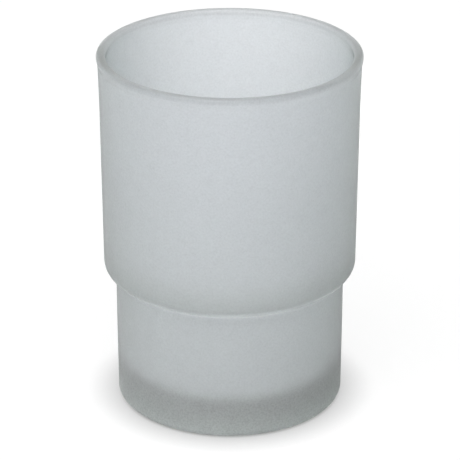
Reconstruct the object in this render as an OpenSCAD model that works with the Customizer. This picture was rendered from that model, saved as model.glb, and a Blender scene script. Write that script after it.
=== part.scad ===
// Bathroom tumbler: a stepped cup of satin-frosted glass, moulded in one piece.
// Lengths are millimetres. Z is the axis of the cup, and its bearing ring stands on Z = 0.

/* [Overall] */
// Height from the bearing ring to the top of the lip
height = 95; // [80:0.5:120]

/* [Lower wall] */
// Diameter of the straight land under the shoulder, which drops into a holder's ring
neck_d = 59.5; // [54:0.1:66]
// Length of that straight land
neck_len = 14; // [8:0.5:18]
// How much the wall draws in on each side between the land and the foot
foot_taper = 0.15; // [0.05:0.05:0.5]
// Radius of the round at the foot's outer edge
foot_round = 1.8; // [1:0.1:3]

/* [Shoulder] */
// Height of the crease where the shoulder meets the lower wall
shoulder_z = 35; // [30:0.5:42]
// How far the upper wall stands out past the lower wall at the shoulder
shoulder_step = 3.1; // [2.4:0.1:4]
// Slope of the shoulder's underside, in degrees
shoulder_slope = 12; // [8:1:20]
// Radius of the shoulder's outer round
shoulder_round = 3.3; // [2:0.1:3.4]
// Radius of the fillet in the crease
crease_round = 0.5; // [0.3:0.1:0.8]

/* [Upper wall] */
// How much the upper wall opens on each side between the shoulder and the mouth's flare
upper_draft = 0.42; // [0.1:0.02:0.8]
// Height of the mouth's flare, from where it starts to the top of the lip
flare_h = 14; // [10:0.5:18]
// How much the wall opens on each side within the flare
flare_out = 0.26; // [0.1:0.02:0.5]

/* [Lip] */
// Thickness of the lip
lip_t = 2.46; // [2.2:0.02:3]
// How far the lip's bead stands out past the wall
lip_proud = 0.38; // [0.2:0.02:0.5]
// How far the bead stands in past the inner wall
lip_inset = 0.15; // [0.05:0.05:0.3]
// Radius of the bead's outer and inner rounds
lip_round = 0.85; // [0.7:0.05:1]
// Height of the bead's side, from the lip's top down to where its underside starts
lip_side = 1.05; // [0.95:0.05:1.4]
// Height over which the underside runs back into the wall
lip_blend = 1.6; // [1.2:0.1:2.2]
// Radius of the fillet where the underside meets the wall
lip_fillet = 1.6; // [0.8:0.1:2]

/* [Inside] */
// Thickness of the upper wall at the shoulder
upper_wall = 2.4; // [2:0.1:3]
// Thickness of the lower wall under the shoulder
lower_wall = 2.4; // [2:0.1:3]
// How much the bore draws in on each side from there to the floor
bore_taper = 0.35; // [0.1:0.05:0.6]
// Thickness of the base, from the bearing ring's plane up to the floor
base_t = 8; // [6:0.5:12]
// Radius of the round between the floor and the wall
floor_round = 5; // [2:0.5:7]
// Height of the slope that joins the two bores behind the shoulder
bore_step_h = 8; // [4:0.5:12]
// Radius of the round at each end of that slope
bore_step_round = 4; // [2:0.5:5]

/* [Underside] */
// Width of the flat bearing ring
ring_w = 4; // [3:0.5:6]
// Depth of the domed hollow inside the bearing ring, at its middle
hollow_depth = 1; // [0.6:0.1:1.6]

/* [Hidden] */
$fn = 180;
frosted_white = [0.78, 0.81, 0.82];

// How far a piece that rounds a corner reaches past the sides that it meets
overrun = 0.2;
// How much larger its arc is than the tangent circle, so that the arc crosses both sides
arc_margin = 0.0005;
// How much of a side the rounds at its two ends may take up
round_share = 0.99;

neck_r = neck_d / 2;
foot_r = neck_r - foot_taper;
hollow_r = foot_r - foot_round - ring_w;
shoulder_r = neck_r + shoulder_step;
shoulder_rise = shoulder_step * tan(shoulder_slope);
flare_r = shoulder_r + upper_draft;
mouth_r = flare_r + flare_out;
lip_r = mouth_r + lip_proud;
lip_bore_r = lip_r - lip_t;
mouth_bore_r = lip_bore_r + lip_inset;
lip_side_z = height - lip_side;
mouth_z = lip_side_z - lip_blend;
upper_bore_r = shoulder_r - upper_wall;
lower_bore_r = neck_r - lower_wall;
floor_r = lower_bore_r - bore_taper;

// Corners of the glass's section, anticlockwise from the axis: [radius, height, round]
corners = [
    [0, 0, 0],
    [foot_r, 0, foot_round],
    [neck_r, shoulder_z - neck_len, 0],
    [neck_r, shoulder_z, crease_round],
    [shoulder_r, shoulder_z + shoulder_rise, shoulder_round],
    [flare_r, height - flare_h, 0],
    [mouth_r, mouth_z, lip_fillet],
    [lip_r, lip_side_z, lip_round],
    [lip_r, height, lip_round],
    [lip_bore_r, height, lip_round],
    [lip_bore_r, lip_side_z, lip_round],
    [mouth_bore_r, mouth_z, lip_fillet],
    [upper_bore_r, shoulder_z + bore_step_h, bore_step_round],
    [lower_bore_r, shoulder_z, bore_step_round],
    [floor_r, base_t, floor_round],
    [0, base_t, 0],
];
last = len(corners) - 1;

function point(i) = [corners[i][0], corners[i][1]];
function unit(v) = v / norm(v);
function side(i) = point(i + 1) - point(i);

// Half the angle between the two sides that meet at a corner
function half_angle(i) = acos(unit(side(i)) * unit(-side(i - 1))) / 2;

// How far a corner's round reaches along each of its sides, as asked for
function asked_run(i) = i == 0 || i == last ? 0 : corners[i][2] / tan(half_angle(i));

// The share of the asked rounds that fits on the side after a corner
function fit(i) =
    let (room = norm(side(i)) * round_share, asked = asked_run(i) + asked_run(i + 1))
    asked > room ? room / asked : 1;

// What is cut from an outward corner, or added to an inward one, to round it.
// before and after are the neighbours that put the piece's own sides anticlockwise.
module round_piece(before, i, after) {
    corner = point(i);
    back = unit(point(before) - corner);
    on = unit(point(after) - corner);
    run = asked_run(i) * min(fit(i - 1), fit(i));
    radius = run * tan(half_angle(i));
    centre = corner + unit(back + on) * radius / sin(half_angle(i));
    reach = (radius + overrun) / radius;
    difference() {
        polygon([
            centre,
            centre + (corner + back * run - centre) * reach,
            centre + (corner - centre) * reach,
            centre + (corner + on * run - centre) * reach,
        ]);
        translate(centre) circle(r = radius + arc_margin);
    }
}

// The pieces for every outward corner, where way is 1, or every inward one, where it is -1
module round_pieces(way) {
    for (i = [1 : last - 1]) {
        if (corners[i][2] > 0 && cross(side(i - 1), side(i)) * way > 0) round_piece(i - way, i, i + way);
    }
}

// Half of the glass cut through its axis
module section() {
    dome_r = (hollow_r * hollow_r + hollow_depth * hollow_depth) / (2 * hollow_depth);
    difference() {
        union() {
            polygon([for (i = [0 : last]) point(i)]);
            round_pieces(-1);
        }
        round_pieces(1);
        translate([0, hollow_depth - dome_r]) circle(r = dome_r);
    }
}

module tumbler() {
    color(frosted_white) rotate_extrude() section();
}

tumbler();
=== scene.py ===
"""Looks of the satin-frosted glass tumbler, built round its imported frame.

The sizes of the glass and of its frost are millimetres, and MM turns them into Blender's metres.
Z is the axis of the cup, and its bearing ring stands on Z = 0.
"""

import math

import bpy
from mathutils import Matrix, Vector


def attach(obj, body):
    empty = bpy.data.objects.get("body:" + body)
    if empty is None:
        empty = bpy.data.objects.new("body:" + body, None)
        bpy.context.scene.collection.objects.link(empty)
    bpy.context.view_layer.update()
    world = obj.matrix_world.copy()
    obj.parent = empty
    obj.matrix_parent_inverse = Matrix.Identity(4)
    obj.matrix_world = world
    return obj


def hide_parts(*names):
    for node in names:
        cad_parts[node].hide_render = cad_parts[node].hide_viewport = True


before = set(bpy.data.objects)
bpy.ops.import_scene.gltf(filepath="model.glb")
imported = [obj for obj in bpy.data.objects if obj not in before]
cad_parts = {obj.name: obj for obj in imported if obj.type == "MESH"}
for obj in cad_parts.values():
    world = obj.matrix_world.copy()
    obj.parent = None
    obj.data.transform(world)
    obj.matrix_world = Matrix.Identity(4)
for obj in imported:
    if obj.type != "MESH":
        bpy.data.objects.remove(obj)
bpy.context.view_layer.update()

MM = 0.001

# The camera: its distance and its aim in metres, its lens in millimetres, and its shift
VIEW_DISTANCE = 0.6781
VIEW_ELEVATION = math.radians(24.293)
VIEW_TARGET = Vector((0, 0, 0.045476))
LENS = 203.44
SHIFT_X = 0.00059

# The glass's section, with the sizes of the frame's solid
HEIGHT = 95.0
NECK_R = 29.75
NECK_Z = 21.0
FOOT_R = 29.6
FOOT_ROUND = 1.8
RING_W = 4.0
HOLLOW_DEPTH = 1.0
SHOULDER_Z = 35.0
SHOULDER_STEP = 3.1
SHOULDER_SLOPE = math.radians(12)
SHOULDER_ROUND = 3.3
CREASE_ROUND = 0.5
FLARE_R = 33.27
FLARE_Z = 81.0
MOUTH_R = 33.53
MOUTH_Z = 92.35
LIP_R = 33.91
LIP_SIDE_Z = 93.95
LIP_ROUND = 0.85
LIP_FILLET = 1.6
LIP_BORE_R = 31.45
MOUTH_BORE_R = 31.6
UPPER_BORE_R = 30.45
BORE_STEP_Z = 43.0
BORE_STEP_ROUND = 4.0
LOWER_BORE_R = 27.35
FLOOR_R = 27.0
BASE_T = 8.0
FLOOR_ROUND = 5.0

# How finely the section is turned into a mesh
SEGMENTS = 256
ARC_STEP = math.radians(3.5)
ARC_LEAST = 4
SIDE_STEP = 2.4
SIDE_LEAST = 4
MERGE_GAP = 0.001

# The glass, its thin smoother skin, and its grey-green absorption over a metre
GLASS_COLOUR = (0.9, 0.902, 0.948)
GLASS_TRANSMISSION = 0.745
GLASS_ROUGHNESS = 0.72
GLASS_IOR = 1.5
COAT_WEIGHT = 0.12
COAT_ROUGHNESS = 0.25
VOLUME_COLOUR = (0.5, 0.58, 0.5)
VOLUME_DENSITY = 200.0

# The frost's fine grain and its larger blotches, as changes to the tone, the relief and the roughness
GRAIN_SIZE = 0.5
GRAIN_DETAIL = 2
GRAIN_TONE = 0.3
GRAIN_DEPTH = 0.012
BLOTCH_SIZE = 3.0
BLOTCH_DETAIL = 1
BLOTCH_TONE = 0.08
BLOTCH_ROUGHNESS = 0.03

# The thick base, grainier and greener than the wall, and the height where it fades out
BASE_GRAIN_TONE = 0.38
BASE_TINT = (-0.022, 0.0, -0.026)
BASE_TOP = 13.0
BASE_FADE = 4.0

# The crease under the shoulder, with a painted highlight along it: a lighter tone and a small mirror-like
# share
CREASE_AT = 35.25
CREASE_REACH = 1.7
CREASE_HIGHLIGHT_TONE = 1.13
CREASE_PAINTED_GLINT = 0.21

# The fire-polished lip, smoother than the wall and darker by a painted shade, from the height where it
# starts
LIP_FROM = 93.4
LIP_FADE = 1.0
LIP_SHADE_TONE = 0.76
LIP_ROUGHNESS = -0.4

# One broad soft light from the front left, and the level of the surround that lights the rest
FRONT_AZIMUTH = math.radians(-19.5)
FRONT_ELEVATION = math.radians(47)
FRONT_POWER = 2.5
FRONT_GAIN = 2.65
SURROUND_LEVEL = 0.02

# The floor's reach and its drop below the glass, in metres
FLOOR_REACH = 4.0
FLOOR_DROP = 0.00005

# The floor as a light on the glass, as the glass shows it, and as the camera sees it
FLOOR_ALBEDO = 0.95
FLOOR_GLOW = 0.33
SEEN_ALBEDO = 0.2
SEEN_GLOW = 0.85

# The soft shade that hugs the foot, as a reach in millimetres and a share of the floor's tone
CONTACT_REACH = 10.0
CONTACT_SHARE = 0.69


def corner_list():
    """The section's corners, anticlockwise from the bearing ring's inner edge.

    Each has its radius, its height and the radius of its round.
    """
    hollow_r = FOOT_R - FOOT_ROUND - RING_W
    shoulder_r = NECK_R + SHOULDER_STEP
    shoulder_top = SHOULDER_Z + SHOULDER_STEP * math.tan(SHOULDER_SLOPE)
    return [
        (hollow_r, 0, 0),
        (FOOT_R, 0, FOOT_ROUND),
        (NECK_R, NECK_Z, 0),
        (NECK_R, SHOULDER_Z, CREASE_ROUND),
        (shoulder_r, shoulder_top, SHOULDER_ROUND),
        (FLARE_R, FLARE_Z, 0),
        (MOUTH_R, MOUTH_Z, LIP_FILLET),
        (LIP_R, LIP_SIDE_Z, LIP_ROUND),
        (LIP_R, HEIGHT, LIP_ROUND),
        (LIP_BORE_R, HEIGHT, LIP_ROUND),
        (LIP_BORE_R, LIP_SIDE_Z, LIP_ROUND),
        (MOUTH_BORE_R, MOUTH_Z, LIP_FILLET),
        (UPPER_BORE_R, BORE_STEP_Z, BORE_STEP_ROUND),
        (LOWER_BORE_R, SHOULDER_Z, BORE_STEP_ROUND),
        (FLOOR_R, BASE_T, FLOOR_ROUND),
        (0, BASE_T, 0),
    ]


def round_corner(before, corner, after, radius):
    """Points of the arc that rounds a corner, each with its outward normal."""
    back = (before - corner).normalized()
    on = (after - corner).normalized()
    half = back.angle(on) / 2
    start = corner + back * (radius / math.tan(half))
    centre = corner + (back + on).normalized() * (radius / math.sin(half))
    end = corner + on * (radius / math.tan(half))
    first = math.atan2(start.y - centre.y, start.x - centre.x)
    turn = math.atan2(end.y - centre.y, end.x - centre.x) - first
    turn = (turn + math.pi) % (2 * math.pi) - math.pi
    steps = max(ARC_LEAST, math.ceil(abs(turn) / ARC_STEP))
    arc = []
    for i in range(steps + 1):
        angle = first + turn * i / steps
        out = Vector((math.cos(angle), math.sin(angle)))
        arc.append((centre + out * radius, out if turn > 0 else -out))
    return arc


def side_normal(start, end):
    """The outward normal of a side, which lies to the right of its direction."""
    along = (end - start).normalized()
    return Vector((along.y, -along.x))


def side_points(start, end):
    """Points along a side, closer together near its ends, with both ends and the side's normal."""
    count = max(SIDE_LEAST, math.ceil((end - start).length / SIDE_STEP))
    shares = [i / count for i in range(count + 1)]
    out = side_normal(start, end)
    return [(start.lerp(end, s * s * (3 - 2 * s)), out) for s in shares]


def hollow_points(rim):
    """Points of the shallow dome under the base, from the axis out to its rim."""
    dome_r = (rim * rim + HOLLOW_DEPTH * HOLLOW_DEPTH) / (2 * HOLLOW_DEPTH)
    centre = Vector((0, HOLLOW_DEPTH - dome_r))
    count = math.ceil(rim / SIDE_STEP)
    points = []
    for i in range(count + 1):
        r = rim * i / count
        out = Vector((r, math.sqrt(dome_r * dome_r - r * r)))
        points.append((centre + out, -out.normalized()))
    return points


def section():
    """Runs of the whole section, from the middle of the underside round to the middle of the floor.

    A run is a list of points with normals. Runs that meet smoothly are joined, and the bearing
    ring's inner edge is the one sharp corner left between two runs.
    """
    corners = corner_list()
    places = [Vector(c[:2]) for c in corners]
    runs = [hollow_points(places[0].x), []]
    end = places[0]
    for i, (_, _, radius) in enumerate(corners[1:], start=1):
        arc = [(places[i], None)]
        if radius:
            arc = round_corner(places[i - 1], places[i], places[i + 1], radius)
        runs[-1] += side_points(end, arc[0][0])
        if radius:
            runs[-1] += arc[1:-1]
        end = arc[-1][0]
    return [merged(run) for run in runs]


def merged(run):
    """A run without doubled points, where two sides that meet at a slight bend share a normal."""
    points = [run[0]]
    for place, out in run[1:]:
        last, last_out = points[-1]
        if (place - last).length < MERGE_GAP:
            points[-1] = (last, (last_out + out).normalized())
        else:
            points.append((place, out))
    return points


def turned(r, z, step):
    """A point or direction of the section, turned round the axis by a number of segments."""
    angle = 2 * math.pi * step / SEGMENTS
    return (r * math.cos(angle), r * math.sin(angle), z)


def lathe(name, runs):
    """A closed mesh from runs of a section whose two ends lie on the axis, with exact normals.

    Every point makes a ring of vertices, or a single vertex on the axis. A run starts on the
    last ring of the run before it, and the edge between the two is sharp.
    """
    verts, faces, normals = [], [], []
    ring = None
    for run in runs:
        low_out = None
        for place, out in run:
            if ring is None or low_out is not None:
                low = ring
                count = 1 if place.x < MERGE_GAP else SEGMENTS
                ring = range(len(verts), len(verts) + count)
                verts += [turned(place.x * MM, place.y * MM, step) for step in range(count)]
            if low_out is not None:
                for s in range(SEGMENTS):
                    t = (s + 1) % SEGMENTS
                    corners = [(low, s, low_out), (low, t, low_out), (ring, t, out), (ring, s, out)]
                    if len(low) == 1:
                        corners.pop(1)
                    elif len(ring) == 1:
                        corners.pop(2)
                    faces.append([level[step % len(level)] for level, step, _ in corners])
                    normals += [turned(flat.x, flat.y, step) for _, step, flat in corners]
            low_out = out
    mesh = bpy.data.meshes.new(name)
    mesh.from_pydata(verts, [], faces)
    mesh.shade_smooth()
    mesh.normals_split_custom_set(normals)
    return place_object(name, mesh)


def place_object(name, data):
    """A new object in the scene, with a mesh or a camera as its data."""
    obj = bpy.data.objects.new(name, data)
    bpy.context.scene.collection.objects.link(obj)
    return obj


def new_material(name):
    """A material without nodes, and its node tree."""
    material = bpy.data.materials.new(name)
    material.use_nodes = True
    material.node_tree.nodes.clear()
    return material, material.node_tree


def math_node(tree, operation, *values):
    """The output of a Math node that is fed by sockets and numbers."""
    node = tree.nodes.new("ShaderNodeMath")
    node.operation = operation
    for socket, value in zip(node.inputs, values):
        if isinstance(value, bpy.types.NodeSocket):
            tree.links.new(value, socket)
        else:
            socket.default_value = value
    return node.outputs[0]


def noise(tree, place, size, detail):
    """A noise centred on zero, whose features are about as wide as a size in millimetres."""
    node = tree.nodes.new("ShaderNodeTexNoise")
    node.inputs["Scale"].default_value = 1 / (size * MM)
    node.inputs["Detail"].default_value = detail
    tree.links.new(place, node.inputs["Vector"])
    return math_node(tree, "SUBTRACT", node.outputs["Fac"], 0.5)


def ramp(tree, depth, fade):
    """A mask that rises from 0 to 1 while a depth in metres grows from 0 to a fade in millimetres."""
    share = math_node(tree, "DIVIDE", depth, fade * MM)
    share.node.use_clamp = True
    return share


def height_masks(tree, place):
    """Masks of the thick base, of the crease under the shoulder with its painted highlight, and of the
    lip with its painted shade and smoother finish.
    """
    split = tree.nodes.new("ShaderNodeSeparateXYZ")
    tree.links.new(place, split.inputs[0])
    height = split.outputs["Z"]
    under_top = math_node(tree, "SUBTRACT", BASE_TOP * MM, height)
    from_crease = math_node(tree, "ABSOLUTE", math_node(tree, "SUBTRACT", height, CREASE_AT * MM))
    near_crease = math_node(tree, "SUBTRACT", CREASE_REACH * MM, from_crease)
    over_start = math_node(tree, "SUBTRACT", height, LIP_FROM * MM)
    return (
        ramp(tree, under_top, BASE_FADE),
        ramp(tree, near_crease, CREASE_REACH),
        ramp(tree, over_start, LIP_FADE),
    )


def frost_tone(tree, grain, blotch, base, crease, lip):
    """How light the frost is, about one, with the lip's painted shade and the crease's painted highlight.
    """
    share = math_node(tree, "MULTIPLY_ADD", base, BASE_GRAIN_TONE, GRAIN_TONE)
    tone = math_node(tree, "MULTIPLY_ADD", grain, share, 1.0)
    tone = math_node(tree, "MULTIPLY_ADD", blotch, BLOTCH_TONE, tone)
    # The lip's darker tone is a painted shade
    tone = math_node(tree, "MULTIPLY_ADD", lip, LIP_SHADE_TONE - 1, tone)
    # The crease's lighter tone is a painted highlight
    return math_node(tree, "MULTIPLY_ADD", crease, CREASE_HIGHLIGHT_TONE - 1, tone)


def glass_colour(tree, base, tone):
    """The glass's colour, with the base's tint, times a tone."""
    tint = tree.nodes.new("ShaderNodeVectorMath")
    tint.operation = "MULTIPLY_ADD"
    tree.links.new(base, tint.inputs[0])
    tint.inputs[1].default_value = BASE_TINT
    tint.inputs[2].default_value = GLASS_COLOUR
    colour = tree.nodes.new("ShaderNodeVectorMath")
    colour.operation = "SCALE"
    tree.links.new(tint.outputs[0], colour.inputs[0])
    tree.links.new(tone, colour.inputs["Scale"])
    return colour.outputs[0]


def grain_relief(tree, grain):
    """The surface's normal, roughened by the grain."""
    bump = tree.nodes.new("ShaderNodeBump")
    bump.inputs["Distance"].default_value = GRAIN_DEPTH * MM
    tree.links.new(grain, bump.inputs["Height"])
    return bump.outputs[0]


def glass_absorption(tree):
    """What the glass's body takes out of the light that crosses it."""
    volume = tree.nodes.new("ShaderNodeVolumeAbsorption")
    volume.inputs["Color"].default_value = (*VOLUME_COLOUR, 1)
    volume.inputs["Density"].default_value = VOLUME_DENSITY
    return volume.outputs[0]


def frosted_glass():
    """Satin-frosted glass: rough clear glass with some white scatter, a fine grain, faint blotches, a
    painted shade on the lip and a painted highlight along the crease.
    """
    material, tree = new_material("frosted_glass")
    shader = tree.nodes.new("ShaderNodeBsdfPrincipled")
    shader.inputs["IOR"].default_value = GLASS_IOR
    shader.inputs["Transmission Weight"].default_value = GLASS_TRANSMISSION
    shader.inputs["Coat Weight"].default_value = COAT_WEIGHT
    shader.inputs["Coat Roughness"].default_value = COAT_ROUGHNESS
    place = tree.nodes.new("ShaderNodeTexCoord").outputs["Object"]
    grain = noise(tree, place, GRAIN_SIZE, GRAIN_DETAIL)
    blotch = noise(tree, place, BLOTCH_SIZE, BLOTCH_DETAIL)
    base, crease, lip = height_masks(tree, place)
    tone = frost_tone(tree, grain, blotch, base, crease, lip)
    rough = math_node(tree, "MULTIPLY_ADD", blotch, BLOTCH_ROUGHNESS, GLASS_ROUGHNESS)
    rough = math_node(tree, "MULTIPLY_ADD", lip, LIP_ROUGHNESS, rough)
    # A mirror-like share along the crease, which paints a highlight line
    painted_glint = math_node(tree, "MULTIPLY", crease, CREASE_PAINTED_GLINT)
    tree.links.new(glass_colour(tree, base, tone), shader.inputs["Base Color"])
    tree.links.new(rough, shader.inputs["Roughness"])
    tree.links.new(painted_glint, shader.inputs["Metallic"])
    tree.links.new(grain_relief(tree, grain), shader.inputs["Normal"])
    output = tree.nodes.new("ShaderNodeOutputMaterial")
    tree.links.new(shader.outputs[0], output.inputs["Surface"])
    tree.links.new(glass_absorption(tree), output.inputs["Volume"])
    return material


def make_tumbler():
    """The glass as one closed mesh, which takes the place of the frame's solid."""
    cup = lathe("tumbler_glass", section())
    cup.data.materials.append(frosted_glass())
    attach(cup, "root")
    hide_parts("tumbler")


def glass_rays(tree):
    """One for rays that reach something by way of the glass, off it or through it, and else zero."""
    path = tree.nodes.new("ShaderNodeLightPath").outputs
    return math_node(tree, "MAXIMUM", path["Is Glossy Ray"], path["Is Transmission Ray"])


def camera_rays(tree):
    """One for rays that come straight from the camera, and else zero."""
    return tree.nodes.new("ShaderNodeLightPath").outputs["Is Camera Ray"]


def contact_shade(tree):
    """The floor's tone, which darkens where the cup stands close."""
    contact = tree.nodes.new("ShaderNodeAmbientOcclusion")
    contact.inputs["Distance"].default_value = CONTACT_REACH * MM
    return math_node(tree, "MULTIPLY_ADD", contact.outputs["AO"], CONTACT_SHARE, 1 - CONTACT_SHARE)


def floor_white():
    """White that keeps the cup's shadow, and glows to white where the camera or the glass sees it."""
    material, tree = new_material("floor_white")
    shade = contact_shade(tree)
    camera = camera_rays(tree)
    change = math_node(tree, "MULTIPLY_ADD", shade, SEEN_ALBEDO, -FLOOR_ALBEDO)
    albedo = math_node(tree, "MULTIPLY_ADD", change, camera, FLOOR_ALBEDO)
    diffuse = tree.nodes.new("ShaderNodeBsdfDiffuse")
    tree.links.new(albedo, diffuse.inputs["Color"])
    seen = math_node(tree, "MULTIPLY", math_node(tree, "MULTIPLY", shade, SEEN_GLOW), camera)
    level = math_node(tree, "MULTIPLY_ADD", glass_rays(tree), FLOOR_GLOW, seen)
    glow = tree.nodes.new("ShaderNodeEmission")
    tree.links.new(level, glow.inputs["Strength"])
    both = tree.nodes.new("ShaderNodeAddShader")
    tree.links.new(diffuse.outputs[0], both.inputs[0])
    tree.links.new(glow.outputs[0], both.inputs[1])
    output = tree.nodes.new("ShaderNodeOutputMaterial")
    tree.links.new(both.outputs[0], output.inputs["Surface"])
    return material


def make_floor():
    """A plain square floor, a hair below the bearing ring."""
    mesh = bpy.data.meshes.new("floor")
    r = FLOOR_REACH
    mesh.from_pydata([(-r, -r, 0), (r, -r, 0), (r, r, 0), (-r, r, 0)], [], [(0, 1, 2, 3)])
    mesh.materials.append(floor_white())
    floor = place_object("floor", mesh)
    floor.location.z = -FLOOR_DROP


def front_light(tree):
    """The front light's share in a direction of the world, which fades evenly away from its middle."""
    flat = math.cos(FRONT_ELEVATION)
    facing = tree.nodes.new("ShaderNodeVectorMath")
    facing.operation = "DOT_PRODUCT"
    tree.links.new(tree.nodes.new("ShaderNodeTexCoord").outputs["Generated"], facing.inputs[0])
    facing.inputs[1].default_value = (
        flat * math.sin(FRONT_AZIMUTH),
        -flat * math.cos(FRONT_AZIMUTH),
        math.sin(FRONT_ELEVATION),
    )
    front = math_node(tree, "MAXIMUM", facing.outputs["Value"], 0.0)
    return math_node(tree, "POWER", front, FRONT_POWER)


def make_world():
    """A surround that is plain white to the camera and the glass, with the front light in it.

    The camera sees the surround without that light.
    """
    world = bpy.data.worlds.new("studio")
    world.use_nodes = True
    tree = world.node_tree
    tree.nodes.clear()
    camera = camera_rays(tree)
    seen = math_node(tree, "MAXIMUM", glass_rays(tree), camera)
    surround = math_node(tree, "MAXIMUM", seen, SURROUND_LEVEL)
    gain = math_node(tree, "MULTIPLY_ADD", camera, -FRONT_GAIN, FRONT_GAIN)
    strength = math_node(tree, "MULTIPLY_ADD", front_light(tree), gain, surround)
    back = tree.nodes.new("ShaderNodeBackground")
    back.inputs["Color"].default_value = (1, 1, 1, 1)
    tree.links.new(strength, back.inputs["Strength"])
    output = tree.nodes.new("ShaderNodeOutputWorld")
    tree.links.new(back.outputs[0], output.inputs["Surface"])
    bpy.context.scene.world = world


def make_camera():
    """A long lens that looks down at the cup from the front."""
    data = bpy.data.cameras.new("camera")
    data.lens = LENS
    data.shift_x = SHIFT_X
    camera = place_object("camera", data)
    back = Vector((0, -math.cos(VIEW_ELEVATION), math.sin(VIEW_ELEVATION)))
    camera.location = VIEW_TARGET + back * VIEW_DISTANCE
    camera.rotation_euler = (-back).to_track_quat("-Z", "Y").to_euler()
    bpy.context.scene.camera = camera


make_camera()
make_tumbler()
make_floor()
make_world()
bpy.context.scene.view_settings.view_transform = "Standard"
